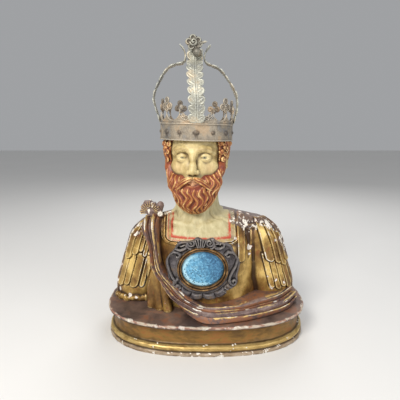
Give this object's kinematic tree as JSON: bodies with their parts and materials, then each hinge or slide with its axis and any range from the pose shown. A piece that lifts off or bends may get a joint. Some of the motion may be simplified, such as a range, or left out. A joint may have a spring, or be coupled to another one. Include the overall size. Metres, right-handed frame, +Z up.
{
  "type": "reliquary bust",
  "caption": "carved and gilded half figure of a bearded man with an open arched crown, an oval relic window in a scrolled frame on the chest, and an oval moulded base",
  "frame": {"origin": "middle of the underside of the oval base", "axes": "+X to the viewer's right, +Y away from the viewer, so that the face and window look along -Y, +Z up"},
  "size_m": [0.456, 0.308, 0.6523],
  "materials": {
    "base_gilding": "worn water gilding over red bole on the mouldings, dark varnish on the top board",
    "carved_wood": "carved wood with gesso, worn gold leaf, painted flesh and hair, and losses down to white gesso",
    "tarnished_leaf": "carved wood with tarnished silver leaf",
    "gilt_rim": "dull gilt bezel",
    "blue_plate": "opaque light blue glass with dark specks",
    "crown_metal": "beaten sheet metal, silvered and tarnished"
  },
  "bodies": {
    "root": {"plinth": "base_gilding", "bust": "carved_wood", "cartouche_frame": "tarnished_leaf", "window_rim": "gilt_rim", "window_plate": "blue_plate", "crown_band": "crown_metal", "crown_hoop_front": "crown_metal", "crown_hoop_right": "crown_metal", "crown_hoop_back": "crown_metal", "crown_hoop_left": "crown_metal", "crown_finial": "crown_metal"}
  },
  "joints": []
}
